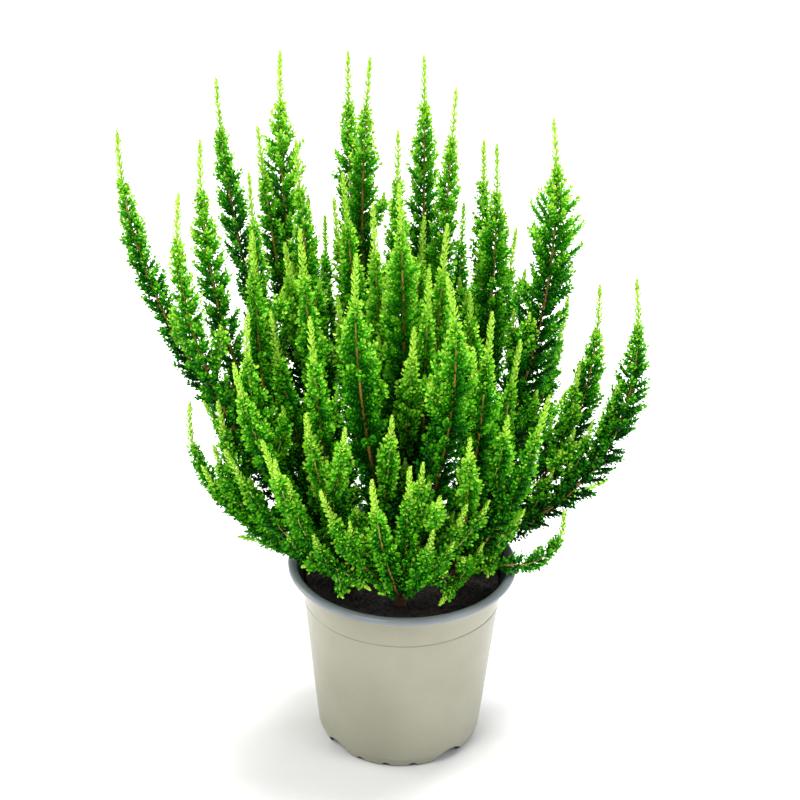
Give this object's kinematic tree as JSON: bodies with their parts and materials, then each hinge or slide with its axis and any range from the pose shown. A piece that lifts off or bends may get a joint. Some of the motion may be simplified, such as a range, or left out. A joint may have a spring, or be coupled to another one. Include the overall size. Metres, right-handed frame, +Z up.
{
  "type": "potted heather",
  "caption": "Bushy evergreen heather with upright leafy stems, rooted in peat in a round tapered plastic nursery pot.",
  "frame": {"origin": "on the ground under the pot's axis, at the middle of the base pad", "axes": "+Z up along the pot's axis, -Y towards the viewer of the picture, +X to the picture's right"},
  "size_m": [0.2652, 0.196, 0.3603],
  "materials": {
    "pot": "semi-matt greige thermoformed plastic, darker grey inside and on the lip",
    "peat": "dark crumbly peat",
    "bark": "reddish-brown thin bark",
    "foliage": "fresh green scale leaves, lime at the tips"
  },
  "bodies": {
    "root": {"pot": "pot", "peat": "peat", "woody_cutting_1": "bark", "woody_cutting_2": "bark", "woody_cutting_3": "bark", "woody_cutting_4": "bark", "woody_cutting_5": "bark", "woody_cutting_6": "bark", "woody_cutting_7": "bark", "leafy_stem_01": "foliage", "leafy_stem_02": "foliage", "leafy_stem_03": "foliage", "leafy_stem_04": "foliage", "leafy_stem_05": "foliage", "leafy_stem_06": "foliage", "leafy_stem_07": "foliage", "leafy_stem_08": "foliage", "leafy_stem_09": "foliage", "leafy_stem_10": "foliage", "leafy_stem_11": "foliage", "leafy_stem_12": "foliage", "leafy_stem_13": "foliage", "leafy_stem_14": "foliage", "leafy_stem_15": "foliage", "leafy_stem_16": "foliage", "leafy_stem_17": "foliage", "leafy_stem_18": "foliage", "leafy_stem_19": "foliage", "leafy_stem_20": "foliage", "leafy_stem_21": "foliage", "leafy_stem_22": "foliage", "leafy_stem_23": "foliage", "leafy_stem_24": "foliage", "leafy_stem_25": "foliage", "leafy_stem_26": "foliage", "leafy_stem_27": "foliage", "leafy_stem_28": "foliage", "leafy_stem_29": "foliage", "leafy_stem_30": "foliage", "leafy_stem_31": "foliage", "leafy_stem_32": "foliage", "leafy_stem_33": "foliage", "leafy_stem_34": "foliage", "leafy_stem_35": "foliage", "leafy_stem_36": "foliage", "leafy_stem_37": "foliage", "leafy_stem_38": "foliage", "leafy_stem_39": "foliage", "leafy_stem_40": "foliage", "leafy_stem_41": "foliage", "leafy_stem_42": "foliage", "leafy_stem_43": "foliage", "leafy_stem_44": "foliage", "leafy_stem_45": "foliage", "leafy_stem_46": "foliage", "leafy_stem_47": "foliage", "leafy_stem_48": "foliage", "leafy_stem_49": "foliage", "leafy_stem_50": "foliage", "leafy_stem_51": "foliage"}
  },
  "joints": []
}
